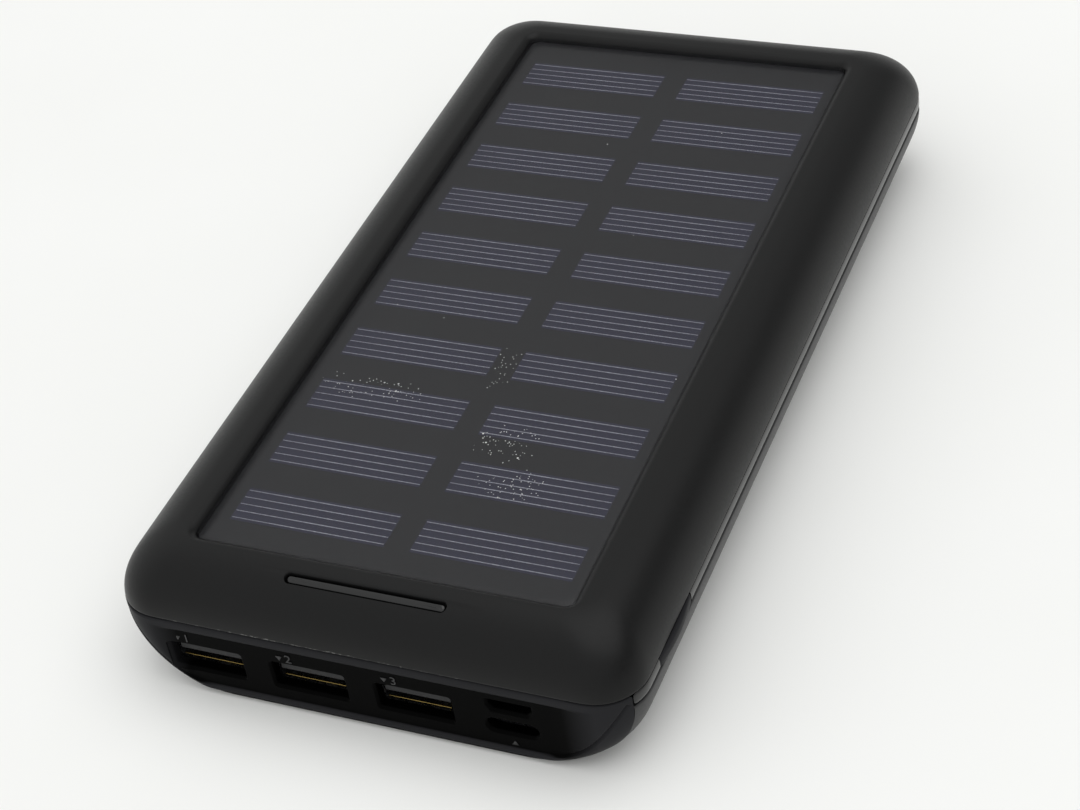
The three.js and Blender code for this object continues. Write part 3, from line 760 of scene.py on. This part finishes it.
class BuildSideBand(bpy.types.Operator):
    """Side band: a gloss strip round both sides and the back, cut out for the button"""

    bl_idname = "power_bank.side_band"
    bl_label = "Side band"

    def execute(self, context):
        rounding = context.scene.power_bank_casing.band_round / MM
        top, foot = BAND_TOP, BAND_FOOT
        inner = 1.6
        profile = [
            (inner, foot), (1.2 * rounding, foot), (0.7 * rounding, foot + 0.06 * rounding),
            (0.3 * rounding, foot + 0.3 * rounding), (0.06 * rounding, foot + 0.72 * rounding),
            (0.0, foot + 1.3 * rounding), (0.02, top - 0.7), (0.08, top - 0.25), (0.2, top - 0.06),
            (0.4, top), (inner, top),
        ]
        rings = [
            [point - way * inset + Vector((0, 0, z)) for inset, z in profile]
            for point, way in band_path()
        ]
        band = settle(smooth(loft("side_band_skin", rings)))
        pad_low, pad_high = box_mm("power_button")
        web = 0.4  # what stays of the band behind the pad
        slit = 3.3  # half the length of the hole for the stem
        slit_height = 1.5
        window = block(
            "button_window", (HALF_WIDTH - inner + web, pad_low.y - BUTTON_GAP, 0),
            (2 * HALF_WIDTH, pad_high.y + BUTTON_GAP, CASE_TOP),
        )
        middle_y = (pad_low.y + pad_high.y) / 2
        slit_foot = (top + foot - slit_height) / 2
        hole = block(
            "stem_hole", (HALF_WIDTH - 2 * inner, middle_y - slit, slit_foot),
            (HALF_WIDTH, middle_y + slit, slit_foot + slit_height),
        )
        cut(band, window, hole)
        finish_piece(band, "housing", "gloss_trim", "side_band")
        return {"FINISHED"}


# ---------- end cap ----------

GRID_STEP = 0.18  # spacing of the cap's surface points
CORNER_LENGTH = 7.8  # of the cap's outline round each plan corner
RIM_STEPS = 24
FACE_FADE = (31.0, 37.5)  # the port face rises to the rim between these distances from the middle
LIP_FADE = (31.0, 35.5)
EDGE_ROUND = 0.45  # rounding of the cap's top and foot
CAP_SKIN = 1.9
POCKET_HALF = 36.2
POCKET_FOOT, POCKET_TOP = 3.0, 13.6
CROWN_FALL = 0.12  # the lip is crowned: its edges fall back this far from its middle
CROWN_MIDDLE = BAND_TOP - 0.9
CROWN_HALF = 0.95
USB_A_OPENING = (12.6, 5.2, 0.3)  # width, height and corner radius
USB_C_OPENING = (8.3, 2.5, 1.24)


def rim_line():
    """The line (x, z) between the port face and the rim that sweeps up both lower corners."""
    ends = ((27.0, RIM_FOOT), (36.0, RIM_FOOT), (38.5, 7.8), (43.0, 14.3))
    knots = [Vector(point) for point in ends]
    right = [(point.x, point.y) for point in interpolate_bezier(*knots, RIM_STEPS)]
    left = [(-x, z) for x, z in reversed(right)]
    return left + right


def line_distance(x, z, line):
    """Distance of each point (x, z) from a line of points."""
    nearest = numpy.full(x.shape, numpy.inf)
    for (x0, z0), (x1, z1) in zip(line, line[1:]):
        along_x, along_z = x1 - x0, z1 - z0
        share = ((x - x0) * along_x + (z - z0) * along_z) / (along_x ** 2 + along_z ** 2)
        share = numpy.clip(share, 0, 1)
        away = numpy.hypot(x - x0 - share * along_x, z - z0 - share * along_z)
        nearest = numpy.minimum(nearest, away)
    return nearest


def ramp(value, start, end):
    """A smooth step from 0 at start to 1 at end."""
    share = numpy.clip((value - start) / (end - start), 0, 1)
    return share * share * (3 - 2 * share)


def cap_depth(x, z, sizes):
    """How far the cap's surface lies inside the case's outline at points (x, z)."""
    sink = sizes.face_sink / MM
    edge = 0.2  # half the width over which a step turns
    line = rim_line()
    aside = numpy.abs(x)
    rim_height = numpy.interp(aside, *zip(*line[RIM_STEPS + 1:]))
    away = line_distance(x, z, line)
    above = numpy.where(z > rim_height, away, -away)
    face = ramp(above, -edge, edge) * ramp(LIP_FOOT - z, -edge, edge)
    face *= 1 - ramp(aside, *FACE_FADE)
    groove = 1 - ramp(away, 0.0, sizes.groove_width / MM)
    past = numpy.clip((z - BAND_TOP) / EDGE_ROUND + 1, 0, 1)
    top = EDGE_ROUND * (1 - numpy.sqrt(1 - past * past))
    crown = CROWN_FALL * ((z - CROWN_MIDDLE) / CROWN_HALF) ** 2
    crown = numpy.where(z > LIP_FOOT - edge, numpy.clip(crown, 0, sink), 0)
    crown = crown * (1 - ramp(aside, *LIP_FADE))
    low = numpy.clip((CAP_LOW.z - z) / EDGE_ROUND + 1, 0, 1)
    foot = EDGE_ROUND * (1 - numpy.sqrt(1 - low * low))
    return numpy.maximum(sink * numpy.maximum(face, groove), crown) + top + foot


def cap_line(z, arc_steps, straight_steps):
    """Points (x, y) and inward directions along the cap's outline, right end to left end."""
    side, front = case_inset(z)
    x = HALF_WIDTH - side - CORNER_RADIUS
    y = front - HALF_LENGTH + CORNER_RADIUS
    start = math.asin((y - CAP_BACK) / CORNER_RADIUS)
    right = []
    for step in range(arc_steps + 1):
        angle = start + (math.pi / 2 - start) * step / arc_steps
        right.append((
            x + CORNER_RADIUS * math.cos(angle), y - CORNER_RADIUS * math.sin(angle),
            -math.cos(angle), math.sin(angle),
        ))
    straight = [
        (x * (1 - 2 * step / straight_steps), y - CORNER_RADIUS, 0.0, 1.0)
        for step in range(1, straight_steps)
    ]
    left = [(-px, py, -nx, ny) for px, py, nx, ny in reversed(right)]
    return right + straight + left


def port_cutter(name, outline_at, face, inside, bevel):
    """A cutter for one port: outline_at(grow) gives its outline, which widens towards the face."""
    profile = (
        (1.3 * bevel, face - 1), (1.12 * bevel, face - 0.04), (0.8 * bevel, face + 0.1 * bevel),
        (0.2 * bevel, face + 0.7 * bevel), (0.04 * bevel, face + bevel), (0.0, face + 1.4 * bevel),
        (0.0, inside + 1),
    )
    return loft(name, [
        [Vector((u, y, v)) for u, v in outline_at(grow)] for grow, y in profile
    ])


def rounded_opening(node, width, height, radius, steps):
    """A function that gives an opening's outline about a node's middle, grown outwards."""
    low, high = box_mm(node)
    middle = (low + high) / 2

    def outline_at(grow):
        points = rounded_points(width + 2 * grow, height + 2 * grow, radius + grow, steps)
        return [(u + middle.x, v + middle.z) for u, v in points]

    return outline_at


def tapered_points(grow):
    """Outline of the upper input: wide at the top, with its lower corners cut."""
    low, high = box_mm("micro_usb_shell")
    x = (low.x + high.x) / 2
    middle = 11.0
    half_height = 0.95 + grow
    half_top, half_foot = 3.5 + grow, 2.7 + grow
    waist = middle - 0.1 * half_height
    return [
        (x - half_foot, middle - half_height), (x + half_foot, middle - half_height),
        (x + half_top, waist), (x + half_top, middle + half_height),
        (x - half_top, middle + half_height), (x - half_top, waist),
    ]


class BuildEndCap(bpy.types.Operator):
    """End cap: the front plate with its sunk port face, rim grooves and bevelled port openings"""

    bl_idname = "power_bank.end_cap"
    bl_label = "End cap"

    def execute(self, context):
        sizes = context.scene.power_bank_ports
        arc_steps = round(CORNER_LENGTH / GRID_STEP)
        straight_steps = round(2 * (HALF_WIDTH - CORNER_RADIUS) / GRID_STEP)
        rows = round((CAP_HIGH.z - CAP_LOW.z) / GRID_STEP)
        heights = [CAP_LOW.z + (CAP_HIGH.z - CAP_LOW.z) * row / rows for row in range(rows + 1)]
        lines = numpy.array([cap_line(z, arc_steps, straight_steps) for z in heights])
        x, y, inward_x, inward_y = (lines[:, :, part] for part in range(4))
        z = numpy.array(heights)[:, None] + numpy.zeros_like(x)
        depth = cap_depth(x, z, sizes) * ramp(CAP_BACK - y, 0.0, 0.3)
        rings = numpy.stack([x + inward_x * depth, y + inward_y * depth, z], axis=2)
        cap = loft("end_cap_plate", rings.tolist())

        face = sizes.face_sink / MM - HALF_LENGTH
        inside = face + CAP_SKIN
        bevel = sizes.port_bevel / MM
        openings = [
            (f"usb_a_cutter_{number}", rounded_opening(f"usb_a_shell_{number}", *USB_A_OPENING, 3))
            for number in (1, 2, 3)
        ]
        openings.append(("micro_cutter", tapered_points))
        openings.append(("usb_c_cutter", rounded_opening("usb_c_tongue", *USB_C_OPENING, 6)))
        cutters = [block(
            "cap_pocket", (-POCKET_HALF, inside, POCKET_FOOT),
            (POCKET_HALF, CAP_BACK + 1, POCKET_TOP),
        )]
        cutters += [
            port_cutter(name, outline_at, face, inside, bevel) for name, outline_at in openings
        ]
        cut(cap, *cutters)
        finish_piece(cap, "housing", "satin_cap", "end_cap")
        return {"FINISHED"}


# ---------- button and light bar ----------

class BuildPowerButton(bpy.types.Operator):
    """Power button: a long swelling pad with its stem and the bar that holds it in"""

    bl_idname = "power_bank.power_button"
    bl_label = "Power button"

    def execute(self, context):
        swell = context.scene.power_bank_casing.button_swell / MM
        low, high = box_mm("power_button")
        half = (high.y - low.y) / 2
        middle_y = (high.y + low.y) / 2
        foot, top = BAND_FOOT + BUTTON_GAP, BAND_TOP - BUTTON_GAP
        back = HALF_WIDTH - 0.7
        rings = []
        for share in (-1, -0.985, -0.9, -0.7, -0.45, -0.2, 0, 0.2, 0.45, 0.7, 0.9, 0.985, 1):
            out = HALF_WIDTH + swell * (1 - share * share) - (0.12 if abs(share) == 1 else 0)
            profile = (
                (back, foot), (out - 0.6, foot), (out - 0.25, foot + 0.05),
                (out - 0.06, foot + 0.25), (out, foot + 0.7), (out, top - 0.7),
                (out - 0.05, top - 0.25), (out - 0.25, top - 0.04), (out - 0.6, top), (back, top),
            )
            y = middle_y + share * half
            rings.append([Vector((x, y, z)) for x, z in profile])
        pad = smooth(loft("button_pad", rings))
        middle_z = (foot + top) / 2
        inner_parts = []
        for name, near, far, reach, rise in (
            ("button_stem", low.x, back + 0.1, 3.0, 0.5),
            ("button_stop", HALF_WIDTH - 2.6, HALF_WIDTH - 2.0, 4.5, 1.3),
        ):
            bar = block(
                name, (near, middle_y - reach, middle_z - rise),
                (far, middle_y + reach, middle_z + rise),
            )
            inner_parts.append(round_edges(bar, 0.12))
        button = joined("power_button_pad", [pad] + inner_parts)
        finish_piece(button, "button", "satin_cap", "power_button")
        return {"FINISHED"}


class BuildLightBar(bpy.types.Operator):
    """Light bar: a smoked guide with a crowned top that follows the shell's slope"""

    bl_idname = "power_bank.light_bar"
    bl_label = "Light bar"

    def execute(self, context):
        profile = (
            (0.0, 0.9), (0.0, 0.74), (-0.05, 0.56), (-0.16, 0.44), (-0.32, 0.37), (-0.5, 0.34))
        gap = context.scene.power_bank_casing.slot_gap / MM
        rings = [slot_ring(-gap, 0, level) for level in (BAR_LOW.z, BAR_LOW.z + 0.3)]
        rings += [slot_ring(grow - gap, drop) for grow, drop in profile]
        bar = smooth(loft("light_bar_guide", rings), 1)
        finish_piece(bar, "housing", "light_guide", "light_bar")
        return {"FINISHED"}


# ---------- panel ----------

class BuildPanelBoard(bpy.types.Operator):
    """Panel board: the laminate that the cells are bedded in, level with their faces"""

    bl_idname = "power_bank.panel_board"
    bl_label = "Panel board"

    def execute(self, context):
        low = box_mm("panel_board")[0]
        cell_top = box_mm("solar_cell_left_01")[1].z
        bed = 0.02  # the cells' faces stand this much proud of the laminate
        rings = slab_rings("panel_board", 1.5, (
            (2.0, low.z), (0.1, low.z), (0.0, low.z + 0.1), (0.0, cell_top - bed - 0.05),
            (0.05, cell_top - bed), (2.0, cell_top - bed),
        ))
        finish_piece(loft("panel_laminate", rings), "housing", "panel_sheet", "panel_board")
        return {"FINISHED"}


class BuildFingerLines(bpy.types.Operator):
    """Finger lines: the printed silver conductors on every solar cell"""

    bl_idname = "power_bank.finger_lines"
    bl_label = "Finger lines"

    def execute(self, context):
        sizes = context.scene.power_bank_panel
        pitch = sizes.finger_pitch / MM
        half_line = sizes.finger_width / MM / 2
        height = 0.02
        for node in sorted(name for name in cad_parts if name.startswith("solar_cell")):
            low, high = box_mm(node)
            first = (low.y + high.y) / 2 - pitch * (sizes.finger_count - 1) / 2
            line = block(
                node.replace("solar_cell", "finger_lines"),
                (low.x + 0.15, first - half_line, high.z),
                (high.x - 0.15, first + half_line, high.z + height),
            )
            array = line.modifiers.new("Array", "ARRAY")
            array.count = sizes.finger_count
            array.use_relative_offset = False
            array.use_constant_offset = True
            array.constant_offset_displace = (0, sizes.finger_pitch, 0)
            finish_piece(line, "housing", "silicon_cell", finish="silver_paste")
        return {"FINISHED"}


# ---------- ports ----------

STRIP_OFFSETS = (-3.5, -1.0, 1.0, 3.5)  # of the contact strips from the socket's middle
STRIP_HALF = 0.45
TONGUE_FOOT = 7.71  # height of the underside of the USB-A tongue's plate
SPRING_HALF = 5.4  # of the thin metal lip under each tongue
SPRING_FOOT = 6.2
MARK_FOOT = 11.2
MARK_SIZE = 2.4
ARROW_LENGTH = 1.1


def raised_number(number, x, z, y, height):
    """A number that stands out of the port face."""
    curve = bpy.data.curves.new("number", "FONT")
    curve.body = str(number)
    curve.size = MARK_SIZE * MM
    curve.extrude = height * MM
    curve.resolution_u = 3
    text = shown("number_text", curve)
    mesh = evaluated_mesh(text)
    bpy.data.objects.remove(text)
    upright = Matrix.Rotation(math.radians(90), 4, "X")
    mesh.transform(Matrix.Translation(Vector((x, y, z)) * MM) @ upright)
    return shown("number", mesh)


def raised_arrow(name, x, z, y, height, point):
    """A triangle that stands out of the port face and points down at -1, or up at 1."""
    half = ARROW_LENGTH / 2
    outline = [(x - half, z), (x + half, z), (x, z + point * ARROW_LENGTH * 0.8)]
    rings = [[Vector((u, at, v)) for u, v in outline] for at in (y + height, y - height)]
    return loft(name, rings)


class BuildPortDetails(bpy.types.Operator):
    """Port details: gold contact strips in the sockets and the raised marks beside them"""

    bl_idname = "power_bank.port_details"
    bl_label = "Port details"

    def execute(self, context):
        sizes = context.scene.power_bank_ports
        face = sizes.face_sink / MM - HALF_LENGTH
        height = sizes.mark_height / MM
        marks = []
        for number in (1, 2, 3):
            low, high = box_mm(f"usb_a_tongue_{number}")
            middle = (low.x + high.x) / 2
            strips = []
            for offset in STRIP_OFFSETS:
                strip = block(
                    "strip", (middle + offset - STRIP_HALF, low.y + 2.2, TONGUE_FOOT - 0.1),
                    (middle + offset + STRIP_HALF, low.y + 8.0, TONGUE_FOOT + 0.02),
                )
                strips.append(round_edges(strip, 0.05, 2))
            contacts = joined(f"usb_a_contacts_{number}", strips)
            spring = block(
                f"usb_a_spring_{number}", (middle - SPRING_HALF, low.y + 0.1, SPRING_FOOT),
                (middle + SPRING_HALF, low.y + 0.35, SPRING_FOOT + 0.1),
            )
            for piece in (contacts, round_edges(spring, 0.04, 2)):
                finish_piece(piece, "housing", "socket_steel", finish="gold_flash_plating")
            mark_x = middle - 4.9
            marks.append(raised_arrow(
                f"arrow_{number}", mark_x + 0.5, MARK_FOOT + 1.05, face, height, -1))
            marks.append(raised_number(number, mark_x + 1.5, MARK_FOOT, face, height))
        low, high = box_mm("usb_c_shell")
        marks.append(raised_arrow(
            "arrow_in", (low.x + high.x) / 2, low.z - 1.7, face, height, 1))
        finish_piece(
            joined("port_marks", marks), "housing", "satin_cap", finish="bare_moulded_abs")
        return {"FINISHED"}


# ---------- inner parts ----------

class BuildFoamPad(bpy.types.Operator):
    """Foam pad: the thin cushion between the two battery pouches"""

    bl_idname = "power_bank.foam_pad"
    bl_label = "Foam pad"

    def execute(self, context):
        low, high = box_mm("battery_pad")
        rings = slab_rings("battery_pad", 3.0, (
            (2.0, low.z), (0.3, low.z), (0.0, low.z + 0.2),
            (0.0, high.z - 0.2), (0.3, high.z), (2.0, high.z),
        ))
        pad = smooth(loft("battery_foam", rings))
        finish_piece(pad, "housing", "foam_pad", "battery_pad")
        return {"FINISHED"}


class FinishFrameNodes(bpy.types.Operator):
    """Frame parts: gives every part that is shown as it is its own material"""

    bl_idname = "power_bank.frame_nodes"
    bl_label = "Frame parts"

    def execute(self, context):
        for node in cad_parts.values():
            slot = node.material_slots[0]
            slot.material = finish_of(slot.material.name)
        return {"FINISHED"}


# ---------- stage ----------

FLOOR_HALF = 4000
LAMP_PLACE = Vector((0.4, 0.2, 1.5))  # metres
LAMP_SIZE = 1.6
LAMP_POWER = 9.0
CAMERA_PLACE = Vector((153.1, -299.1, 278.9)) * MM
CAMERA_TARGET = Vector((10.6, -32.1, 24.7)) * MM
CAMERA_ROLL = -10.06
CAMERA_LENS = 80.2


def light_tent():
    """Pale surroundings all round, bright at the horizon and dimmer above the back."""
    world = bpy.data.worlds.new("light_tent")
    world.use_nodes = True
    tree = world.node_tree
    tree.nodes.clear()
    way = add(tree, "TexCoord").outputs["Generated"]
    lean = add(tree, "VectorMath", {0: way, 1: (-0.4, -0.4, 0.8)}, operation="DOT_PRODUCT")
    sky = add(tree, "MapRange", {
        "Value": lean.outputs["Value"], "From Min": 0.08, "From Max": 0.42,
        "To Min": 0.32, "To Max": 0.98,
    })
    height = add(tree, "SeparateXYZ", {"Vector": way}).outputs["Z"]
    horizon = add(tree, "MapRange", {
        "Value": height, "From Min": 0.12, "From Max": 0.4, "To Min": 0.93, "To Max": 0.0,
    })
    strength = any_of(tree, (sky.outputs["Result"], horizon.outputs["Result"]))
    glow = add(tree, "Background", {"Color": linear("#fbfcfb"), "Strength": strength})
    add(tree, "OutputWorld", {"Surface": glow.outputs["Background"]})
    return world


class BuildStage(bpy.types.Operator):
    """Stage: pale floor, soft light and the camera"""

    bl_idname = "power_bank.stage"
    bl_label = "Stage"

    def execute(self, context):
        scene = context.scene
        scene.view_settings.view_transform = "Standard"
        floor = block("floor", (-FLOOR_HALF, -FLOOR_HALF, -20), (FLOOR_HALF, FLOOR_HALF, 0))
        floor.data.materials.append(
            moulded("matt_paper", ("#eeeeec", "#f2f2f1"), 60, (0.85, 0.95), 0.0))

        scene.world = light_tent()
        light = bpy.data.lights.new("overhead", "AREA")
        light.size = LAMP_SIZE
        light.energy = LAMP_POWER
        lamp = shown("overhead", light)
        lamp.location = LAMP_PLACE
        lamp.rotation_euler = (-LAMP_PLACE).to_track_quat("-Z", "Y").to_euler()

        camera = bpy.data.cameras.new("camera")
        camera.sensor_width = 36
        camera.lens = CAMERA_LENS
        camera.clip_start = 0.01
        camera.clip_end = 50
        eye = shown("camera", camera)
        aim = (CAMERA_TARGET - CAMERA_PLACE).to_track_quat("-Z", "Y").to_matrix().to_4x4()
        roll = Matrix.Rotation(math.radians(CAMERA_ROLL), 4, "Z")
        eye.matrix_world = Matrix.Translation(CAMERA_PLACE) @ aim @ roll
        scene.camera = eye
        return {"FINISHED"}


# ---------- add-on ----------

OPERATORS = (
    BuildStage,
    BuildTopShell,
    BuildBottomShell,
    BuildSideBand,
    BuildEndCap,
    BuildPowerButton,
    BuildLightBar,
    BuildPanelBoard,
    BuildFingerLines,
    BuildPortDetails,
    BuildFoamPad,
    FinishFrameNodes,
)
SETTINGS = {
    "power_bank_casing": CasingSettings,
    "power_bank_ports": PortSettings,
    "power_bank_panel": PanelSettings,
    "power_bank_colours": ColourSettings,
}


class PowerBankPanel(bpy.types.Panel):
    """Lists the pieces of the power bank and their settings."""

    bl_idname = "VIEW3D_PT_power_bank"
    bl_label = "Power bank"
    bl_space_type = "VIEW_3D"
    bl_region_type = "UI"
    bl_category = "Power bank"

    def draw(self, context):
        for operator in OPERATORS:
            self.layout.operator(operator.bl_idname)
        for name, group in SETTINGS.items():
            settings = getattr(context.scene, name)
            for field in group.__annotations__:
                self.layout.prop(settings, field)


CLASSES = (*SETTINGS.values(), *OPERATORS, PowerBankPanel)


def register():
    for kind in CLASSES:
        bpy.utils.register_class(kind)
    for name, group in SETTINGS.items():
        setattr(bpy.types.Scene, name, PointerProperty(type=group))


def unregister():
    for name in SETTINGS:
        delattr(bpy.types.Scene, name)
    for kind in reversed(CLASSES):
        bpy.utils.unregister_class(kind)


def main():
    register()
    for operator in OPERATORS:
        group, name = operator.bl_idname.split(".")
        getattr(getattr(bpy.ops, group), name)()


if __name__ == "__main__":
    main()
